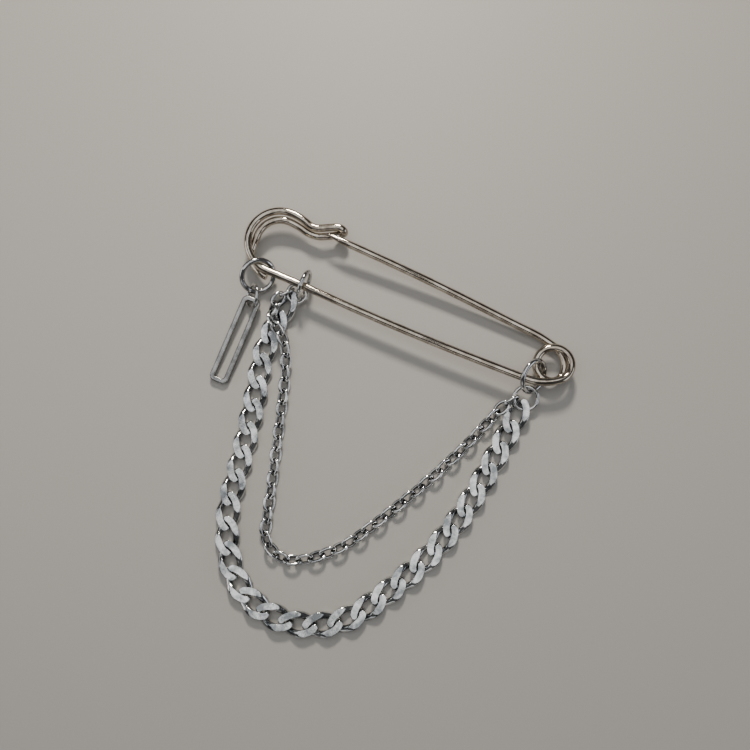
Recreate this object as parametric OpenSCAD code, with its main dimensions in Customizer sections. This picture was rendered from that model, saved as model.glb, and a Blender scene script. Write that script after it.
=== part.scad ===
// Safety pin brooch: one bent wire with a hinged needle, five plain rings,
// an open bar pendant and two chains hung between the head and the coil.
// Millimetres. Seen from above, +X runs along the lower arm toward the coil,
// +Y toward the needle, +Z up. The brooch lies on z = 0 as in the photograph.

/* [Wire pin] */

// diameter of the pin's wire
wire_d = 1.75; // [1.6:0.01:1.85]
// height of the lower arm's centre above the table
arm_z = 4.2; // [4.1:0.05:4.6]
// height of the wire's centre where the coil's lowest turn ends
coil_low_z = 1.2; // [1.0:0.05:1.3]
// centre-to-centre distance of the two strands of the head
strand_gap = 2.0; // [1.95:0.01:2.1]
// length of the lower arm between coil and head
arm_length = 62.55; // [60:0.05:66]

/* [Needle] */

// length of the needle from its pivot to its point
needle_length = 51.2; // [48:0.1:51.4]
// length of the sharpened part
taper_length = 6.6; // [4:0.1:10]
// radius of the point's end
point_r = 0.22; // [0.15:0.01:0.3]
// rise of the needle toward the head, mm for each mm
needle_rise = 0.0592; // [0.055:0.0001:0.062]

/* [Rings] */

// centreline radius of the large ring on the head
big_ring_r = 3.75; // [3.7:0.01:3.8]
// centreline radius of the pendant's ring
pendant_ring_r = 2.5; // [2.45:0.01:2.55]
// centreline radius of the ring on the arm
arm_ring_r = 3.1; // [3.0:0.01:3.2]
// centreline radius of the flat ring under the head
left_ring_r = 2.2; // [2.15:0.01:2.25]
// centreline radius of the ring through the coil
coil_ring_r = 3.6; // [3.55:0.01:3.65]
// centreline radius of the flat ring beside the coil
right_ring_r = 2.6; // [2.55:0.01:2.65]

/* [Pendant] */

// outside width of the open bar
pendant_w = 4.4; // [4.2:0.05:4.8]
// outside length of the open bar
pendant_len = 20.8; // [18:0.1:24]
// width of its metal seen from above
pendant_bar = 1.05; // [0.9:0.05:1.15]
// thickness of the open bar
pendant_t = 1.2; // [1.0:0.05:1.3]

/* [Curb chain] */

// distance between neighbouring links
curb_pitch = 5.25; // [5.2:0.01:5.3]
// wire of a link
curb_wire = 1.45; // [1.2:0.01:1.47]
// outside width of a link
curb_w = 5.35; // [5.2:0.05:5.4]
// thickness after the faces are ground flat
curb_flat = 1.9; // [1.6:0.05:2.2]
// twist of a link from end to end, degrees
curb_twist = -104; // [-110:1:-98]

/* [Cable chain] */

// distance between neighbouring links
cable_pitch = 2.6; // [2.5:0.01:2.65]
// wire of a link
cable_wire = 0.64; // [0.55:0.01:0.65]
// outside width of a link
cable_w = 2.75; // [2.65:0.05:2.8]
// lean of a link from flat, even links one way and odd links the other
cable_lean = 40; // [38:1:46]

/* [Hidden] */

// moves the coil's centre so that the origin is under the middle of the brooch
shift = [35.47, 32.12, 0];
wire_r = wire_d / 2;
pivot = [-7.5, 5.77, 1.55];
needle_heading = -2.4;
wire_sides = 12;

// Paths in plan: a step is length, turn in degrees (left is plus), rise

function arc_len(r, turn) = r * abs(turn) * PI / 180;
function bend(r, turn, rise = 0) = [arc_len(r, turn), turn, rise];
function straight(l, rise = 0) = [l, 0, rise];
function parts(s, most) = s[1] == 0 ? 1 : ceil(abs(s[1]) / most);
function small_steps(steps, most) = [
    for (s = steps, i = [1:parts(s, most)]) s / parts(s, most)
];
function sums(v, first) = [
    for (i = 0, t = first; i <= len(v); t = i < len(v) ? t + v[i] : t, i = i + 1) t
];
function chord(s, heading) =
    let (
        half = abs(s[1]) / 2,
        f = half < 0.001 ? 1 : sin(half) / (half * PI / 180),
        a = heading + s[1] / 2
    )
    [s[0] * f * cos(a), s[0] * f * sin(a), s[2]];
function headings(steps, h) = sums([for (s = steps) s[1]], h);
function walk(steps, p, h) =
    let (hs = headings(steps, h))
    sums([for (i = [0:len(steps) - 1]) chord(steps[i], hs[i])], p);

// Sweep of a round wire along points, with a frame carried from point to point

function unit(v) = v / norm(v);
function tangent(p, i) = unit(p[min(i + 1, len(p) - 1)] - p[max(i - 1, 0)]);
function level(n, t) = unit(n - (n * t) * t);
function frames(p) = [
    for (
        i = 0, n = level([0, 0, 1], tangent(p, 0));
        i < len(p);
        n = i + 1 < len(p) ? level(n, tangent(p, i + 1)) : n, i = i + 1
    ) n
];
module wire(p, r, sides, end_r) {
    n = frames(p);
    last = len(p) - 1;
    pts = [
        for (i = [0:last])
            let (t = tangent(p, i), b = cross(t, n[i]), q = i == 0 || i == last ? end_r : r)
            for (k = [0:sides - 1])
                let (a = 360 * (k + 0.5) / sides) p[i] + q * (cos(a) * n[i] + sin(a) * b)
    ];
    walls = [
        for (i = [0:last - 1], k = [0:sides - 1])
            let (m = (k + 1) % sides)
            [i * sides + k, (i + 1) * sides + k, (i + 1) * sides + m, i * sides + m]
    ];
    ends = [
        [for (k = [0:sides - 1]) k],
        [for (k = [sides - 1:-1:0]) last * sides + k]
    ];
    polyhedron(points = pts, faces = concat(walls, ends), convexity = 10);
}

// The pin: from the stub beside the pivot round the coil, along the arm,
// round the head to the nose, then back as the second strand of the head

coil_drop = arm_z - coil_low_z;
coil_bends = [[5.4, -78], [2.9, -90], [3.7, -90], [3.8, -230], [11.6, -37.7]];
coil_turn = 525.7;
stub_steps = [bend(25, -9.63, -0.243), straight(1.6, -0.09)];
coil_steps = [for (b = coil_bends) bend(b[0], b[1], coil_drop * -b[1] / coil_turn)];
arm_steps = [
    [(arm_length - 10.55) / 2, -2.07, 0],
    [(arm_length - 10.55) / 2, -2.07, 0],
    [6, 1.84, 0],
    straight(4.55)
];
head_steps = [
    bend(7.7, -76),
    bend(7.1, -104),
    bend(12, -20),
    straight(0.6),
    bend(3.5, 48),
    straight(3.4),
    bend(2.2, -35)
];
lead = small_steps(concat(stub_steps, coil_steps, arm_steps), 10);
round_head = small_steps(head_steps, 10);
stub_start = pivot + 0.3 * [cos(needle_heading), sin(needle_heading), -needle_rise];
all_steps = concat(lead, round_head);
path_a = walk(all_steps, stub_start, needle_heading);
head_a = headings(all_steps, needle_heading);
from_arm = [for (i = [len(lead):len(path_a) - 1]) i];
run = sums([for (s = round_head) s[0]], 0);

// how far the second strand leans from straight below toward the inside
function lean(s) = lookup(s, [
    [0.5, -28],
    [5.15, -8],
    [7.4, 13],
    [10.3, 55],
    [13, 72],
    [22, 72],
    [25, 60],
    [27.5, 45],
    [29.3, 38],
    [31, 50],
    [32.5, 60],
    [34, 45],
    [35.56, 12]
]);
function inward(h) = [sin(h), -cos(h), 0];
function beside(h, s) = sin(lean(s)) * inward(h) - cos(lean(s)) * [0, 0, 1];
path_b = [
    for (k = [len(from_arm) - 1:-1:0])
        path_a[from_arm[k]] + strand_gap * beside(head_a[from_arm[k]], run[k])
];
nose = path_a[len(path_a) - 1];
nose_h = head_a[len(head_a) - 1];
nose_side = beside(nose_h, run[len(run) - 1]);
u_turn = [
    for (a = [15:15:165])
        nose + strand_gap / 2 * (sin(a) * [cos(nose_h), sin(nose_h), 0]
            + (1 - cos(a)) * nose_side)
];
pin_path = concat(path_a, u_turn, path_b);

module pin_body() {
    color([0.80, 0.78, 0.74])
        translate(shift)
            wire(pin_path, wire_r, wire_sides, wire_r - 0.12);
}

// The needle: a round rod from its pivot to its point

module needle() {
    straight_len = needle_length - taper_length;
    color([0.84, 0.82, 0.78])
        translate(shift + pivot)
            rotate([0, 90 - atan(needle_rise), 180 + needle_heading]) {
                cylinder(h = 0.4, r1 = 0.6, r2 = wire_r, $fn = 48);
                translate([0, 0, 0.4])
                    cylinder(h = straight_len - 0.4, r = wire_r, $fn = 48);
                translate([0, 0, straight_len])
                    cylinder(h = taper_length - 0.3, r1 = wire_r, r2 = point_r, $fn = 48);
                translate([0, 0, needle_length - 0.3])
                    cylinder(h = 0.3, r1 = point_r, r2 = 0.06, $fn = 48);
            }
}

// Rings: centre, tilt of the ring from flat, direction its face leans to

module ring(centre, tilt, toward, r, wire_radius) {
    translate(shift + centre)
        rotate([0, tilt, toward])
            rotate_extrude($fn = 72)
                translate([r, 0])
                    circle(r = wire_radius, $fn = 24);
}
module big_ring() {
    color([0.86, 0.86, 0.85]) ring([-68.63, -7.07, 3.46], 45.5, -30.2, big_ring_r, 0.58);
}
module pendant_ring() {
    color([0.86, 0.86, 0.85]) ring([-68.18, -11.53, 2.38], 53.8, 202.7, pendant_ring_r, 0.36);
}
module arm_ring() {
    color([0.86, 0.86, 0.85]) ring([-58.10, -4.90, 3.62], 88, 1, arm_ring_r, 0.44);
}
module left_chain_ring() {
    color([0.86, 0.86, 0.85]) ring([-59.12, -6.96, 1.97], 7.8, 277.5, left_ring_r, 0.41);
}
module coil_ring() {
    color([0.86, 0.86, 0.85]) ring([-3.11, -3.90, 3.37], 51.4, -10.8, coil_ring_r, 0.48);
}
module right_chain_ring() {
    color([0.86, 0.86, 0.85]) ring([-2.74, -8.79, 1.92], 16.2, 285.3, right_ring_r, 0.45);
}

// The pendant: an open bar with rounded corners, its top end lifted by its ring

module bar_outline(w, l, r) {
    hull() {
        for (x = [r - w / 2, w / 2 - r], y = [r, l - r])
            translate([x, -y])
                circle(r = r, $fn = 32);
    }
}
module bar_pendant() {
    color([0.84, 0.84, 0.82])
        translate(shift + [-67.91, -11.81, 1.80 - pendant_t / 2])
            rotate([3.1, 0, 1.8])
                linear_extrude(pendant_t)
                    difference() {
                        bar_outline(pendant_w, pendant_len, 1.3);
                        translate([0, -pendant_bar])
                            bar_outline(pendant_w - 2 * pendant_bar,
                                pendant_len - 2 * pendant_bar, 0.5);
                    }
}

// Chain links: a closed loop of wire in its own frame, then placed

function oval(half_l, half_w, count) =
    let (s = half_l - half_w, quarter = count / 4)
    [
        for (i = [0:count - 1])
            let (
                q = i < count / 2 ? 1 : -1,
                k = i % (count / 2),
                a = -90 + 180 * k / (count / 2 - 1)
            )
            [q * (s + half_w * cos(a)), q * half_w * sin(a)]
    ];
function out_dir(p, i) =
    let (n = len(p), d = p[(i + 1) % n] - p[(i + n - 1) % n])
    unit([d.y, -d.x, 0]);
function loop_points(p, r, sides) = [
    for (i = [0:len(p) - 1], k = [0:sides - 1])
        let (a = 360 * (k + 0.5) / sides)
        [p[i].x, p[i].y, 0] + r * (cos(a) * out_dir(p, i) + sin(a) * [0, 0, 1])
];
function loop_faces(n, sides) = [
    for (i = [0:n - 1], k = [0:sides - 1], half = [0, 1])
        let (j = (i + 1) % n, m = (k + 1) % sides)
        half == 0 ? [i * sides + k, i * sides + m, j * sides + m]
            : [i * sides + k, j * sides + m, j * sides + k]
];
function turned(v, a) = [v.x, v.y * cos(a) - v.z * sin(a), v.y * sin(a) + v.z * cos(a)];
function ground(v, h) = [v.x, v.y, max(-h, min(h, v.z))];

// one entry a link: place, heading, slope up along the heading, roll
function link_row(centre, first, bends, pitch, heights, rolls) =
    let (
        turns = [for (b = bends, i = [1:b[0]]) b[1]],
        hs = sums(turns, first),
        n = len(hs),
        start = centre - pitch / 2 * [cos(first), sin(first)],
        ends = sums([for (h = hs) pitch * [cos(h), sin(h)]], start)
    )
    [
        for (i = [0:n - 1])
            let (
                c = (ends[i] + ends[i + 1]) / 2,
                low = max(i - 1, 0),
                high = min(i + 1, n - 1),
                up = lookup(high, heights) - lookup(low, heights),
                slope = atan(up / (pitch * (high - low)))
            )
            [c.x, c.y, lookup(i, heights), hs[i], slope, lookup(i, rolls)]
    ];
module place(l) {
    translate([l[0], l[1], l[2]])
        rotate([0, -l[4], l[3]])
            rotate([l[5], 0, 0])
                children();
}

curb_gap = 0.35;
curb_half_l = (curb_pitch + curb_gap + curb_wire) / 2;
curb_half_w = (curb_w - curb_wire) / 2;
curb_bends = [
    [1, 4.0], [2, 9.0], [5, -1.3], [3, 9.4], [3, 17.5], [4, 14.8], [2, 2.1], [4, 4.52], [4, 1.34]
];
curb_heights = [
    [0, 1.47], [1, 1.18], [2, 1.045], [3, 0.99], [4, 0.975], [26, 0.975], [27, 1.03], [28, 1.235]
];
curb_rolls = [[0, 16.9], [1, 2.4], [2, 0], [26, 0], [27, -2.5], [28, -9]];
curb_row = link_row(
    [-60.24, -10.94], -96.2, curb_bends, curb_pitch, curb_heights, curb_rolls
);
curb_loop = oval(curb_half_l, curb_half_w, 14);
curb_shape = [
    for (v = loop_points(curb_loop, curb_wire / 2, 6))
        ground(turned(v, curb_twist / 2 * v.x / curb_half_l), curb_flat / 2)
];
module curb_link() {
    polyhedron(points = curb_shape, faces = loop_faces(14, 6), convexity = 6);
}
module curb_chain() {
    color([0.88, 0.88, 0.87])
        translate(shift)
            for (l = curb_row)
                place(l) curb_link();
}

cable_gap = 0.28;
cable_half_l = (cable_pitch + cable_gap + cable_wire) / 2;
cable_half_w = (cable_w - cable_wire) / 2;
cable_bends = [
    [1, 20.06], [2, 26.0], [1, 22.2], [1, -13.8], [1, -18.8], [2, -4.7], [13, -0.1], [4, 23.7],
    [1, 11.5], [5, 5.4], [4, 0.27], [11, 0.93], [2, -8.92]
];
cable_heights = [
    [0, 1.83], [1, 2.43], [2, 2.65], [3, 3.19], [4, 3.15], [5, 3.01], [6, 2.92], [7, 2.33],
    [8, 1.79], [9, 1.16],
    [10, 1.02], [45, 1.02], [46, 1.145], [47, 1.29], [48, 1.71]
];
cable_rolls = [
    [0, 33.3], [1, 14.1], [2, 6.4], [3, 1.7], [4, -1.3], [5, -0.4], [6, -1.5], [7, 0], [45, 0], [46, 7.5], [47, 20.4], [48, 40.9]
];
cable_row = link_row(
    [-61.37, -7.63], -124, cable_bends, cable_pitch, cable_heights, cable_rolls
);
cable_loop = oval(cable_half_l, cable_half_w, 12);
module cable_link() {
    polyhedron(points = loop_points(cable_loop, cable_wire / 2, 5),
        faces = loop_faces(12, 5), convexity = 6);
}
module cable_chain() {
    color([0.88, 0.88, 0.87])
        translate(shift)
            for (i = [0:len(cable_row) - 1])
                place(cable_row[i])
                    rotate([i % 2 == 0 ? cable_lean : -cable_lean, 0, 0])
                        cable_link();
}

pin_body();
needle();
big_ring();
pendant_ring();
bar_pendant();
arm_ring();
left_chain_ring();
coil_ring();
right_chain_ring();
curb_chain();
cable_chain();
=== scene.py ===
"""Safety pin brooch: smooth wires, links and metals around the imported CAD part.

Millimetres and degrees, with part.scad's axes and its origin under the coil: +X along the lower
arm toward the coil, +Y toward the needle, +Z up. SHIFT moves that origin under the middle of the
brooch, and MM turns millimetres into metres when a mesh is made. Paths and places are those of
part.scad. Links, three rings and the needle's bow and point differ from it, to come closer to
the photo, and the comments on their sizes say how.
"""

import math

import bpy
import numpy as np
from mathutils import Matrix, Vector


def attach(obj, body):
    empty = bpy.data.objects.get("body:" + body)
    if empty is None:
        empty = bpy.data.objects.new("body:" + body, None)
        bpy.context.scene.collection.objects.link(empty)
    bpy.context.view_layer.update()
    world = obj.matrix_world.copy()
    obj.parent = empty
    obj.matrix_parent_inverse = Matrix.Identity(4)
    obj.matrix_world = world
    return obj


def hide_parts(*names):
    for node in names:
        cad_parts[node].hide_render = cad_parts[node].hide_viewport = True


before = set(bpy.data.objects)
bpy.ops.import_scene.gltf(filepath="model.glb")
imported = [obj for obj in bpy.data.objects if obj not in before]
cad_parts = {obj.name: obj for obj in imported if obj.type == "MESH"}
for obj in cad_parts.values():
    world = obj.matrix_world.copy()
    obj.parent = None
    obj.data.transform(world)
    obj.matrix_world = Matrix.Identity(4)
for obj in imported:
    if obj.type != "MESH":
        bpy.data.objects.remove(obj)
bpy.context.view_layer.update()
MM = 0.001

# Bent wire and needle

SHIFT = np.array([35.47, 32.12, 0.0])
WIRE_R = 0.875
ARM_Z, COIL_LOW_Z = 4.2, 1.2
ARM_LENGTH = 62.55
STRAND_GAP = 2.0
PIVOT = np.array([-7.5, 5.77, 1.55])
PIVOT_CUT = 0.3
NEEDLE_HEADING, NEEDLE_RISE = -2.4, 0.0592
NEEDLE_LENGTH, TAPER = 51.2, 6.6

# The needle's middle bows outward and its taper is rounded down to a fine point. part.scad's
# needle is straight, with a conical taper and a blunter point.
BOW, POINT_R, TIP_R = 0.38, 0.13, 0.05
BOW_EASE, TAPER_EASE = 1.5, 1.6

# Points along the needle's round root, shank and taper, where the shank starts, and the radius
# of the first point as a share of the wire's
ROOT_POINTS, SHANK_POINTS, TAPER_POINTS = 9, 40, 19
SHANK_START, ROOT_OPENING = 0.6, 0.02

# The most that one step of the bent wire may turn and run, and the step of the nose's half turn
MOST_TURN, MOST_RUN, NOSE_STEP = 2.5, 1.5, 7.5

# Turns of the coil: radius and turn
COIL = ((5.4, -78), (2.9, -90), (3.7, -90), (3.8, -230), (11.6, -37.7))

# Where the head's second strand lies: mm along the head, and how far it has swung from below
# the first strand toward the inside of the bend
STRAND_SWING = (
    (0.5, -28), (5.15, -8), (7.4, 13), (10.3, 55), (13, 72), (22, 72), (25, 60),
    (27.5, 45), (29.3, 38), (31, 50), (32.5, 60), (34, 45), (35.56, 12),
)

# Rings: middle, tilt out of flat, heading of the side that dips, radius of the ring's middle
# line, radius of its wire. The wire of the big, arm and coil rings is thicker than in part.scad.
RINGS = {
    "big_ring": ((-68.63, -7.07, 3.46), 45.5, -30.2, 3.75, 0.61),
    "pendant_ring": ((-68.18, -11.53, 2.38), 53.8, 202.7, 2.5, 0.36),
    "arm_ring": ((-58.10, -4.90, 3.62), 88.0, 1.0, 3.1, 0.50),
    "left_chain_ring": ((-59.12, -6.96, 1.97), 7.8, 277.5, 2.2, 0.41),
    "coil_ring": ((-3.11, -3.90, 3.37), 51.4, -10.8, 3.6, 0.56),
    "right_chain_ring": ((-2.74, -8.79, 1.92), 16.2, 285.3, 2.6, 0.45),
}

# Open bar: place and slope of its top end, section and corners
BAR = dict(
    place=(-67.91, -11.81, 1.80), slope=3.1, heading=1.8, width=4.4, length=20.8, side=1.05,
    depth=1.2, outer_r=1.3, inner_r=0.5, corner_points=12, edge_r=0.22, edge_points=5,
)

# Links: gap is the play between hooked links, and more fullness makes an oval's sides straighter.
# points counts round the link and sides round its wire. Each link is turned at random by up to
# play, and leans to one side and the other in turn. A curb link is also twisted from end to end
# and ground flat so far above and below its middle, with edges soft over 0.045. In part.scad the
# curb wire is 1.45, its link 5.35 wide, twisted by 104 and ground at 0.95 on both sides, and the
# cable wire is 0.64 and its link 2.75 wide; both chains have more gap and no play there.
CURB = dict(
    pitch=5.25, gap=0.3, wire=1.55, width=5.4, fullness=2.5, points=84, sides=24,
    play=2.0, lean=0.0, twist=-106.0, above=0.65, below=0.95, soft=0.045,
)
CABLE = dict(
    pitch=2.6, gap=0.2, wire=0.74, width=3.0, fullness=2.2, points=48, sides=14,
    play=5.0, lean=40.0,
)

# How much of the play goes to a link's roll, slope and heading
PLAY_SHARES = (1, 0.6, 0.2)

# Paths of the wires


def bend(r, turn, rise=0.0):
    """A step round an arc, as length, turn and rise; a left turn is positive."""
    return (r * math.radians(abs(turn)), turn, rise)


def fine_steps(steps):
    """The same steps cut into short ones."""
    out = []
    for length, turn, rise in steps:
        n = max(1, math.ceil(abs(turn) / MOST_TURN), math.ceil(length / MOST_RUN))
        out += [(length / n, turn / n, rise / n)] * n
    return out


def walk(steps, start, heading):
    """Points and headings along steps of length, turn and rise."""
    p, h = np.array(start, float), heading
    points, heads = [p], [h]
    for length, turn, rise in steps:
        half = math.radians(abs(turn) / 2)
        chord = length * math.sin(half) / half if half else length
        a = math.radians(h + turn / 2)
        p = p + np.array([chord * math.cos(a), chord * math.sin(a), rise])
        h += turn
        points.append(p)
        heads.append(h)
    return np.array(points), np.array(heads)


def coil_and_arm():
    """Steps from the needle's pivot round the coil and along the lower arm to the head."""
    stub = [bend(25, -9.63, -0.243), (1.6, 0, -0.09)]
    whole = sum(turn for _, turn in COIL)
    coil = [bend(r, turn, (ARM_Z - COIL_LOW_Z) * turn / whole) for r, turn in COIL]
    beside_head = [(6, 1.84, 0), (4.55, 0, 0)]
    half_arm = (ARM_LENGTH - sum(step[0] for step in beside_head)) / 2
    return stub + coil + [(half_arm, -2.07, 0)] * 2 + beside_head


def head():
    """Steps round the head and through its wiggle to the nose."""
    return [
        bend(7.7, -76), bend(7.1, -104), bend(12, -20), (0.6, 0, 0), bend(3.5, 48),
        (3.4, 0, 0), bend(2.2, -35),
    ]


def second_strand(points, heads, run):
    """The head's second strand beside the first, and which way it lies from it at the nose."""
    swing = np.interp(run, *zip(*STRAND_SWING))
    # Three rounds take the corners off the table's straight stretches
    for _ in range(3):
        swing[1:-1] = (swing[:-2] + 2 * swing[1:-1] + swing[2:]) / 4
    h, w = np.radians(heads), np.radians(swing)
    ways = np.stack([np.sin(w) * np.sin(h), -np.sin(w) * np.cos(h), -np.cos(w)], 1)
    return points + STRAND_GAP * ways, ways[-1]


def nose(end, heading, way):
    """The tight half turn at the nose, from the end of the first strand to the second."""
    h = math.radians(heading)
    ahead = np.array([math.cos(h), math.sin(h), 0])
    a = np.radians(np.arange(NOSE_STEP, 180, NOSE_STEP))[:, None]
    return end + STRAND_GAP / 2 * (np.sin(a) * ahead + (1 - np.cos(a)) * way)


def pin_path():
    """Middle line of the bent wire, from the pivot round coil, arm and head to its free end.

    The solid wire starts PIVOT_CUT from the pivot. This one starts at the pivot, inside the
    needle's root, so that the two look like one wire.
    """
    h = math.radians(NEEDLE_HEADING)
    start = PIVOT + PIVOT_CUT * np.array([math.cos(h), math.sin(h), -NEEDLE_RISE])
    lead, around = fine_steps(coil_and_arm()), fine_steps(head())
    points, heads = walk(lead + around, start, NEEDLE_HEADING)
    run = np.cumsum([0] + [length for length, _, _ in around])
    second, way = second_strand(points[len(lead):], heads[len(lead):], run)
    turn = nose(points[-1], heads[-1], way)
    return np.concatenate([[PIVOT], points, turn, second[::-1]])


def needle_path():
    """Middle line and radius of the needle, from its round root at the pivot to its tip."""
    h, slope = math.radians(180 + NEEDLE_HEADING), math.atan(NEEDLE_RISE)
    level = math.cos(slope)
    ahead = np.array([level * math.cos(h), level * math.sin(h), math.sin(slope)])
    outward = np.array([math.sin(h), -math.cos(h), 0])
    dome = np.linspace(0, math.pi / 2, ROOT_POINTS)
    shank = np.linspace(SHANK_START, NEEDLE_LENGTH - TAPER, SHANK_POINTS)
    taper = np.linspace(NEEDLE_LENGTH - TAPER, NEEDLE_LENGTH, TAPER_POINTS)[1:]
    s = np.concatenate([-WIRE_R * np.cos(dome), shank, taper])
    bow = BOW * np.sin(np.pi * np.clip(s / NEEDLE_LENGTH, 0, 1)) ** BOW_EASE
    points = PIVOT + s[:, None] * ahead + bow[:, None] * outward
    sharpened = 1 - np.clip((NEEDLE_LENGTH - s) / TAPER, 0, 1)
    radius = POINT_R + (WIRE_R - POINT_R) * (1 - sharpened ** TAPER_EASE)
    radius[:ROOT_POINTS] = WIRE_R * np.maximum(np.sin(dome), ROOT_OPENING)
    radius[-1] = TIP_R
    return points, radius


def ring_path(place, tilt, dips_to, r, count=96):
    """Middle line of a ring: a flat circle, tilted and then turned."""
    a = np.linspace(0, 2 * np.pi, count, endpoint=False)
    flat = np.stack([r * np.cos(a), r * np.sin(a), 0 * a], 1)
    tilted = Matrix.Rotation(math.radians(tilt), 3, "Y")
    turned = Matrix.Rotation(math.radians(dips_to), 3, "Z") @ tilted
    return flat @ np.array(turned).T + np.array(place)


# Rows of the chains


def link_row(middle, heading, bends, pitch, heights, rolls):
    """One row for each link: the x, y and z of its middle, and its roll, slope and heading.

    middle and heading are the first link's. Every link is one straight step of a pitch. bends
    says how many links turn on from the one before and by how much; heights and rolls give a
    value at a link's number and change evenly between.
    """
    heads = np.cumsum([heading] + [turn for n, turn in bends for _ in range(n)])
    steps = pitch * np.stack([np.cos(np.radians(heads)), np.sin(np.radians(heads))], 1)
    ends = np.concatenate([np.zeros((1, 2)), np.cumsum(steps, 0)]) + middle - steps[0] / 2
    link = np.arange(len(heads))
    z = np.interp(link, *zip(*heights))
    before, after = np.maximum(link - 1, 0), np.minimum(link + 1, link[-1])
    slopes = np.degrees(np.arctan((z[after] - z[before]) / (pitch * (after - before))))
    roll = np.interp(link, *zip(*rolls))
    return np.column_stack([(ends[:-1] + ends[1:]) / 2, z, roll, slopes, heads])


CURB_ROW = link_row(
    middle=(-60.24, -10.94), heading=-96.2, pitch=CURB["pitch"],
    bends=[
        (1, 4.0), (2, 9.0), (5, -1.3), (3, 9.4), (3, 17.5), (4, 14.8), (2, 2.1), (4, 4.52),
        (4, 1.34),
    ],
    heights=[
        (0, 1.47), (1, 1.18), (2, 1.045), (3, 0.99), (4, 0.975), (26, 0.975), (27, 1.03),
        (28, 1.235),
    ],
    rolls=[(0, 16.9), (1, 2.4), (2, 0), (26, 0), (27, -2.5), (28, -9)],
)
CABLE_ROW = link_row(
    middle=(-61.37, -7.63), heading=-124, pitch=CABLE["pitch"],
    bends=[
        (1, 20.06), (2, 26.0), (1, 22.2), (1, -13.8), (1, -18.8), (2, -4.7), (13, -0.1), (4, 23.7),
        (1, 11.5), (5, 5.4), (4, 0.27), (11, 0.93), (2, -8.92),
    ],
    heights=[
        (0, 1.83), (1, 2.43), (2, 2.65), (3, 3.19), (4, 3.15), (5, 3.01), (6, 2.92), (7, 2.33),
        (8, 1.79), (9, 1.16), (10, 1.02), (45, 1.02), (46, 1.145), (47, 1.29), (48, 1.71),
    ],
    rolls=[
        (0, 33.3), (1, 14.1), (2, 6.4), (3, 1.7), (4, -1.3), (5, -0.4), (6, -1.5), (7, 0),
        (45, 0), (46, 7.5), (47, 20.4), (48, 40.9),
    ],
)

# Meshes


def make_mesh(name, points, edges=(), faces=()):
    """A mesh in metres from points in millimetres."""
    me = bpy.data.meshes.new(name)
    me.from_pydata((np.asarray(points) * MM).tolist(), list(edges), list(faces))
    me.update()
    return me


def new_object(name, data):
    """Puts a mesh, lamp or camera into the scene, at the origin."""
    ob = bpy.data.objects.new(name, data)
    bpy.context.scene.collection.objects.link(ob)
    return ob


def face_out(me):
    """Turns all faces if the mesh's signed volume is negative."""
    me.calc_loop_triangles()
    co = np.empty(len(me.vertices) * 3)
    me.vertices.foreach_get("co", co)
    tri = np.empty(len(me.loop_triangles) * 3, np.int32)
    me.loop_triangles.foreach_get("vertices", tri)
    a, b, c = co.reshape(-1, 3)[tri.reshape(-1, 3)].transpose(1, 0, 2)
    if np.einsum("ij,ij->", a, np.cross(b, c)) < 0:
        me.flip_normals()
    me.update()


def skin(rounds, sides):
    """Faces of a closed tube: so many rounds of so many points."""
    faces = []
    for i in range(rounds):
        for k in range(sides):
            j, m = (i + 1) % rounds, (k + 1) % sides
            faces.append((i * sides + k, j * sides + k, j * sides + m, i * sides + m))
    return faces


def oval(half_l, half_w, count, fullness):
    """Middle line of a link; fullness 2 is an ellipse."""
    a = 2 * np.pi * (np.arange(count) + 0.5) / count
    c, s = np.cos(a), np.sin(a)
    p = 2 / fullness
    x = half_l * np.sign(c) * np.abs(c) ** p
    y = half_w * np.sign(s) * np.abs(s) ** p
    return np.stack([x, y], 1)


def twist(points, turn, half_l):
    """A link's points turned about its length, by turn from end to end."""
    x, y, z = points.T
    k = np.radians(turn / 2) * x / half_l
    return np.stack([x, y * np.cos(k) - z * np.sin(k), y * np.sin(k) + z * np.cos(k)], 1)


def grind(points, above, below, soft):
    """Grinds a link's points flat; returns 1 for each point that is left round, 0 for others."""
    left = np.ones(len(points))
    for sign, h in ((1, above), (-1, below)):
        under = (h - sign * points[:, 2]) / soft
        points[:, 2] = sign * (h - soft * np.logaddexp(0, under))
        left *= under > 0
    return left


def link_mesh(name, size):
    """A closed oval of round wire, twisted and ground flat where its sizes say so.

    The attribute inner_side rises from 0 to 1 toward the side of the wire that faces the hole, where
    the metals paint shade.
    """
    half_l = (size["pitch"] + size["gap"] + size["wire"]) / 2
    half_w = (size["width"] - size["wire"]) / 2
    count, sides, r = size["points"], size["sides"], size["wire"] / 2
    line = oval(half_l, half_w, count, size["fullness"])
    along = np.roll(line, -1, 0) - np.roll(line, 1, 0)
    outward = np.stack([along[:, 1], -along[:, 0]], 1) / np.linalg.norm(along, axis=1)[:, None]
    a = 2 * np.pi * np.arange(sides) / sides
    xy = line[:, None, :] + r * np.cos(a)[None, :, None] * outward[:, None, :]
    z = np.broadcast_to(r * np.sin(a)[None, :, None], xy.shape[:2] + (1,))
    points = np.concatenate([xy, z], 2).reshape(-1, 3)
    # How much painted shade each point takes: most on the side facing the hole, none where a curb
    # link is ground flat
    inner = np.tile(np.clip(-np.cos(a), 0, 1), count)
    if "twist" in size:
        points = twist(points, size["twist"], half_l)
        inner *= grind(points, size["above"], size["below"], size["soft"])
    me = make_mesh(name, points, faces=skin(count, sides))
    me.attributes.new("inner_side", "FLOAT", "POINT").data.foreach_set("value", inner)
    return me


# Geometry nodes


def add(tree, kind, inputs=None, **settings):
    """Adds one node; each input, by name or number, takes a link from a socket or a value."""
    node = tree.nodes.new(kind)
    for key, value in settings.items():
        setattr(node, key, value)
    for key, value in (inputs or {}).items():
        if isinstance(value, bpy.types.NodeSocket):
            tree.links.new(value, node.inputs[key])
        else:
            node.inputs[key].default_value = value
    return node


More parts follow.
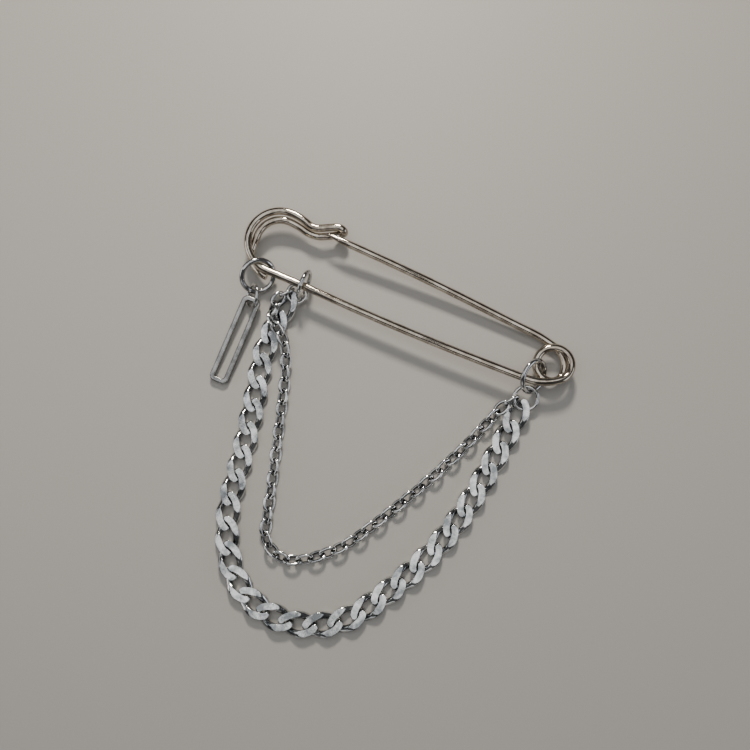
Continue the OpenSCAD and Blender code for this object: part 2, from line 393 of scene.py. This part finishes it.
def new_tree(name, inputs):
    """A tree with geometry in and out and the other inputs that it names."""
    tree = bpy.data.node_groups.new(name, "GeometryNodeTree")
    for label, kind in [("Geometry", "NodeSocketGeometry")] + inputs:
        tree.interface.new_socket(label, in_out="INPUT", socket_type=kind)
    tree.interface.new_socket("Geometry", in_out="OUTPUT", socket_type="NodeSocketGeometry")
    return tree


def end_tree(tree, shape, material):
    """Makes a tree's copies real and smooth and gives them their metal."""
    real = add(tree, "GeometryNodeRealizeInstances", {"Geometry": shape})
    smooth = add(tree, "GeometryNodeSetShadeSmooth", {"Geometry": real.outputs[0]})
    paint = add(
        tree, "GeometryNodeSetMaterial", {"Geometry": smooth.outputs[0], "Material": material}
    )
    add(tree, "NodeGroupOutput", {"Geometry": paint.outputs[0]})
    return tree


def wire_tree():
    """Sweeps a round wire along the object's edges, with the radius that its points give."""
    tree = new_tree("wire", [("Sides", "NodeSocketInt"), ("Material", "NodeSocketMaterial")])
    given = add(tree, "NodeGroupInput").outputs
    curve = add(tree, "GeometryNodeMeshToCurve", {"Mesh": given["Geometry"]})
    circle = add(
        tree, "GeometryNodeCurvePrimitiveCircle", {"Resolution": given["Sides"], "Radius": 1.0}
    )
    radius = add(tree, "GeometryNodeInputNamedAttribute", {"Name": "radius_here"}, data_type="FLOAT")
    swept = add(tree, "GeometryNodeCurveToMesh", {
        "Curve": curve.outputs[0], "Profile Curve": circle.outputs[0],
        "Scale": radius.outputs[0], "Fill Caps": True,
    })
    return end_tree(tree, swept.outputs[0], given["Material"])


def chain_tree():
    """Puts one link on every point, turned by the point's own spin."""
    tree = new_tree("chain", [("Link", "NodeSocketObject"), ("Material", "NodeSocketMaterial")])
    given = add(tree, "NodeGroupInput").outputs
    link = add(tree, "GeometryNodeObjectInfo", {"Object": given["Link"], "As Instance": True})
    spin = add(tree, "GeometryNodeInputNamedAttribute", {"Name": "spin"}, data_type="FLOAT_VECTOR")
    turned = add(tree, "FunctionNodeEulerToRotation", {"Euler": spin.outputs[0]})
    placed = add(tree, "GeometryNodeInstanceOnPoints", {
        "Points": given["Geometry"], "Instance": link.outputs["Geometry"],
        "Rotation": turned.outputs[0],
    })
    return end_tree(tree, placed.outputs[0], given["Material"])


WIRE_TREE = wire_tree()
CHAIN_TREE = chain_tree()


def run_tree(name, mesh, tree, values):
    """Applies the tree to a helper object and keeps the result as a plain mesh at the origin."""
    helper = new_object(name + "_helper", mesh)
    mod = helper.modifiers.new("nodes", "NODES")
    mod.node_group = tree
    for item in tree.interface.items_tree:
        if item.in_out == "INPUT" and item.name in values:
            mod[item.identifier] = values[item.name]
    bpy.context.view_layer.update()
    seen = helper.evaluated_get(bpy.context.evaluated_depsgraph_get())
    result = bpy.data.meshes.new_from_object(seen)
    result.name = name
    bpy.data.objects.remove(helper)
    face_out(result)
    return new_object(name, result)


# Wires, chains and the open bar


def wire(name, points, radius, material, sides, closed=False):
    """A round wire along points; radius is one number or one for each point."""
    n = len(points)
    edges = [(i, i + 1) for i in range(n - 1)] + ([(n - 1, 0)] if closed else [])
    me = make_mesh(name, points + SHIFT, edges=edges)
    here = me.attributes.new("radius_here", "FLOAT", "POINT")
    here.data.foreach_set("value", np.broadcast_to(radius, n).astype(float) * MM)
    return run_tree(name, me, WIRE_TREE, {"Sides": sides, "Material": material})


def chain(name, size, rows, material):
    """A chain: one link of this size on every row."""
    me = make_mesh(name, rows[:, :3] + SHIFT)
    rng = np.random.default_rng(len(rows))
    loose = rng.uniform(-size["play"], size["play"], (len(rows), 3)) * PLAY_SHARES
    roll, slope, heading = (rows[:, 3:] + loose).T
    roll += np.where(np.arange(len(rows)) % 2, -size["lean"], size["lean"])
    spins = np.radians(np.stack([roll, -slope, heading], 1))
    me.attributes.new("spin", "FLOAT_VECTOR", "POINT").data.foreach_set("vector", spins.ravel())
    link = new_object(name + "_link", link_mesh(name + "_link", size))
    result = run_tree(name, me, CHAIN_TREE, {"Link": link, "Material": material})
    bpy.data.objects.remove(link)
    return result


def bar_outline(r, inset):
    """The bar's outline with corners of radius r: x, y and the direction out of it."""
    right, high, low = BAR["width"] / 2 - inset, -inset, inset - BAR["length"]
    outline = []
    for x, y, start in (
        (right - r, high - r, 0), (r - right, high - r, 90),
        (r - right, low + r, 180), (right - r, low + r, 270),
    ):
        for a in np.radians(start + np.linspace(0, 90, BAR["corner_points"])):
            outline.append((x + r * math.cos(a), y + r * math.sin(a), math.cos(a), math.sin(a)))
    return outline


def bar_section():
    """Round the bar's section: whether at its inner outline, how deep under it, and how high."""
    a = np.radians(np.linspace(0, 90, BAR["edge_points"]))
    to_side = BAR["edge_r"] * np.stack([1 - np.sin(a), 1 - np.cos(a)], 1)
    to_face = to_side[:, ::-1]
    section = []
    for inner, level, edge in (
        (False, -1, to_side), (False, 1, to_face), (True, 1, to_side), (True, -1, to_face),
    ):
        section += [(inner, deep, level * (BAR["depth"] / 2 - short)) for deep, short in edge]
    return section


def open_bar(name, material):
    """The open bar: its rounded section carried round between outer and inner outline."""
    outlines = bar_outline(BAR["outer_r"], 0.0), bar_outline(BAR["inner_r"], BAR["side"])
    section = bar_section()
    points = []
    for outer_point, inner_point in zip(*outlines):
        for inner, deep, z in section:
            x, y, out_x, out_y = inner_point if inner else outer_point
            into = deep if inner else -deep
            points.append((x + into * out_x, y + into * out_y, z))
    me = make_mesh(name, points, faces=skin(len(outlines[0]), len(section)))
    me.transform(
        Matrix.Translation(Vector((SHIFT + np.array(BAR["place"])) * MM))
        @ Matrix.Rotation(math.radians(BAR["heading"]), 4, "Z")
        @ Matrix.Rotation(math.radians(BAR["slope"]), 4, "X")
    )
    me.materials.append(material)
    me.shade_smooth()
    face_out(me)
    return new_object(name, me)


# Metals

# Stains are patches of about 3 mm. The real polishing scratches are too fine to show, so they
# are drawn as grains of about 0.3 mm, up to 0.02 mm deep.
STAINS_PER_MM, SCRATCHES_PER_MM, SCRATCH_DEPTH = 0.35, 3.0, 0.02

# The dark grey of the painted shade that the inner sides of links turn towards
PAINTED_SHADE = "#2A2928"


def colour(code):
    """sRGB hex to linear RGBA."""
    srgb = [int(code[i:i + 2], 16) / 255 for i in (1, 3, 5)]
    linear = [v / 12.92 if v <= 0.04045 else ((v + 0.055) / 1.055) ** 2.4 for v in srgb]
    return (*linear, 1.0)


def new_material(name):
    """An empty material; returns it and its node tree."""
    mat = bpy.data.materials.new(name)
    mat.use_nodes = True
    mat.node_tree.nodes.clear()
    return mat, mat.node_tree


def metal(name, clean, stained, rough, scratch, inner_shade=0.0):
    """Metal with faint stains, an uneven polish, scratches and painted shade on the inner sides of
    links.

    clean and stained are its two colours, rough its least and most roughness, and scratch the
    strength of its scratches. The last argument is how far the inner sides of links are painted
    dark, as shade. Inputs 6 and 7 of a Mix node are its two colours, and output 2 is the mixed one.
    """
    mat, tree = new_material(name)
    place = add(tree, "ShaderNodeTexCoord")
    mm = add(tree, "ShaderNodeVectorMath", {
        0: place.outputs["Object"], "Scale": 1 / MM,
    }, operation="SCALE")
    stains = add(tree, "ShaderNodeTexNoise", {
        "Vector": mm.outputs[0], "Scale": STAINS_PER_MM, "Detail": 4.0, "Roughness": 0.6,
    })
    grains = add(tree, "ShaderNodeTexNoise", {
        "Vector": mm.outputs[0], "Scale": SCRATCHES_PER_MM, "Detail": 5.0, "Roughness": 0.7,
    })
    fade = add(tree, "ShaderNodeMapRange", {
        "Value": stains.outputs["Fac"], "From Min": 0.4, "From Max": 0.62,
    })
    tint = add(tree, "ShaderNodeMix", {
        "Factor": fade.outputs[0], 6: colour(clean), 7: colour(stained),
    }, data_type="RGBA")
    # Painted shade: toward the inner sides of links the colour turns to a dark grey, standing in for
    # the shade in the chains' hollows
    side = add(tree, "ShaderNodeAttribute", attribute_name="inner_side")
    hollow = add(tree, "ShaderNodeMapRange", {
        "Value": side.outputs["Fac"], "From Min": 0.1, "From Max": 0.7, "To Max": inner_shade,
    })
    shaded_tint = add(tree, "ShaderNodeMix", {
        "Factor": hollow.outputs[0], 6: tint.outputs[2], 7: colour(PAINTED_SHADE),
    }, data_type="RGBA")
    polish = add(tree, "ShaderNodeMapRange", {
        "Value": grains.outputs["Fac"], "From Min": 0.3, "From Max": 0.75,
        "To Min": rough[0], "To Max": rough[1],
    })
    bump = add(tree, "ShaderNodeBump", {
        "Height": grains.outputs["Fac"], "Strength": scratch, "Distance": SCRATCH_DEPTH * MM,
    })
    shade = add(tree, "ShaderNodeBsdfPrincipled", {
        "Base Color": shaded_tint.outputs[2], "Roughness": polish.outputs[0],
        "Normal": bump.outputs[0], "Metallic": 1.0,
    })
    add(tree, "ShaderNodeOutputMaterial", {"Surface": shade.outputs[0]})
    return mat


# Steel wire, drawn and nickel plated: a smooth mirror, a little warm, with faint cloudy patches
PIN_METAL = metal(
    "polished_nickel_wire", "#C9C0B2", "#9C9285", rough=(0.05, 0.14), scratch=0.10,
)

# Steel links, ground flat and tumbled: bright faces with fine scratches and grey patches, and
# # painted shade on the inner sides of the links
CHAIN_METAL = metal(
    "polished_steel_chain", "#E4E5E4", "#868A8C", rough=(0.05, 0.20), scratch=0.5, inner_shade=0.4,
)

# Fine steel links, bent from bright wire: small sharp highlights beside the darkest painted shade on
# the inner sides
CABLE_METAL = metal(
    "bright_steel_links", "#F2F2F1", "#AEB0B1", rough=(0.04, 0.12), scratch=0.25, inner_shade=0.85,
)

# Steel jump rings, wound from drawn wire and polished: an even grey mirror
RING_METAL = metal(
    "polished_steel_rings", "#D2D2D0", "#A2A3A4", rough=(0.06, 0.18), scratch=0.15,
)

# Steel bar with a satin finish: darker, with broad soft highlights
BAR_METAL = metal(
    "satin_steel_bar", "#A6A6A3", "#777876", rough=(0.16, 0.30), scratch=0.30,
)

# The pieces

made = {}
made["pin_body"] = wire("pin_wire", pin_path(), WIRE_R, PIN_METAL, sides=28)
made["needle"] = wire("needle_wire", *needle_path(), PIN_METAL, sides=32)
for node, (*ring, wire_r) in RINGS.items():
    path = ring_path(*ring)
    made[node] = wire(node + "_wire", path, wire_r, RING_METAL, sides=24, closed=True)
made["curb_chain"] = chain("curb_links", CURB, CURB_ROW, CHAIN_METAL)
made["cable_chain"] = chain("cable_links", CABLE, CABLE_ROW, CABLE_METAL)
made["bar_pendant"] = open_bar("open_bar", BAR_METAL)

for node, ob in made.items():
    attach(ob, "needle" if node == "needle" else "body")
    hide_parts(node)

# Floor, lamps and camera

FLOOR_REACH = 1500

# Each lamp's name, place, width and length, watts, tone, and whether it faces straight down. The
# ground link faces lie flat and mirror what hangs above them: the lamps that face down are the
# bright bands along the chains, and the gaps between these lamps are the dark ones.
LAMPS = (
    ("key", (-130, 300, 250), (60, 60), 1.5, "#FFF6EA", False),
    ("above_left", (-120, 20, 240), (76, 260), 0.078, "#FAFBFF", True),
    ("left", (-250, -10, 235), (80, 200), 0.05, "#FAFBFF", True),
    ("above_middle", (-38, 20, 240), (66, 260), 0.062, "#FFFFFF", True),
    ("above_right", (58, 20, 240), (104, 260), 0.100, "#FFFFFF", True),
    ("low_right", (300, 60, 110), (240, 100), 0.15, "#EEF3FF", False),
    ("low_left", (-300, -100, 110), (240, 100), 0.15, "#FFFFFF", False),
    ("low_near", (40, -300, 110), (260, 100), 0.06, "#FFFFFF", False),
)
ROOM_TONE, ROOM_STRENGTH = "#B8B8BA", 0.16

# The camera as fitted to the photo: its place in mm, and the directions right and ahead of it
EYE = Vector((15.89, -12.78, 165.54))
RIGHT, AHEAD = Vector((0.91572, 0.40132, -0.01994)), Vector((-0.09412, 0.16598, -0.98163))


def floor():
    """A plain pale floor, matt."""
    mat, tree = new_material("pale_floor")
    shade = add(tree, "ShaderNodeBsdfPrincipled", {
        "Base Color": colour("#AFACA6"), "Roughness": 0.6,
    })
    add(tree, "ShaderNodeOutputMaterial", {"Surface": shade.outputs[0]})
    r = FLOOR_REACH
    me = make_mesh("floor", [(-r, -r, 0), (r, -r, 0), (r, r, 0), (-r, r, 0)], faces=[(0, 1, 2, 3)])
    me.materials.append(mat)
    new_object("floor", me)


def lamp(name, place, size, power, tone, down):
    """A soft rectangular lamp, which faces straight down or the middle of the brooch."""
    data = bpy.data.lights.new(name, "AREA")
    data.shape = "RECTANGLE"
    data.size, data.size_y = size[0] * MM, size[1] * MM
    data.energy = power
    data.color = colour(tone)[:3]
    ob = new_object(name, data)
    ob.location = Vector(place) * MM
    if not down:
        ob.rotation_mode = "QUATERNION"
        ob.rotation_quaternion = (-Vector(place)).to_track_quat("-Z", "Y")


def room():
    """Soft grey light from all around."""
    world = bpy.data.worlds.new("soft_grey")
    world.use_nodes = True
    glow = world.node_tree.nodes["Background"]
    glow.inputs["Color"].default_value = colour(ROOM_TONE)
    glow.inputs["Strength"].default_value = ROOM_STRENGTH
    bpy.context.scene.world = world


def photo_camera():
    """The camera at the photo's place."""
    eye = bpy.data.cameras.new("photo_camera")
    eye.sensor_width = 36.0
    eye.lens = 36.0
    eye.clip_start, eye.clip_end = 0.005, 20.0
    camera = new_object("photo_camera", eye)
    up = RIGHT.cross(AHEAD).normalized()
    turned = Matrix((RIGHT, up, -AHEAD)).transposed()
    camera.matrix_world = Matrix.Translation(EYE * MM) @ turned.to_4x4()
    bpy.context.scene.camera = camera


floor()
for row in LAMPS:
    lamp(*row)
room()
photo_camera()
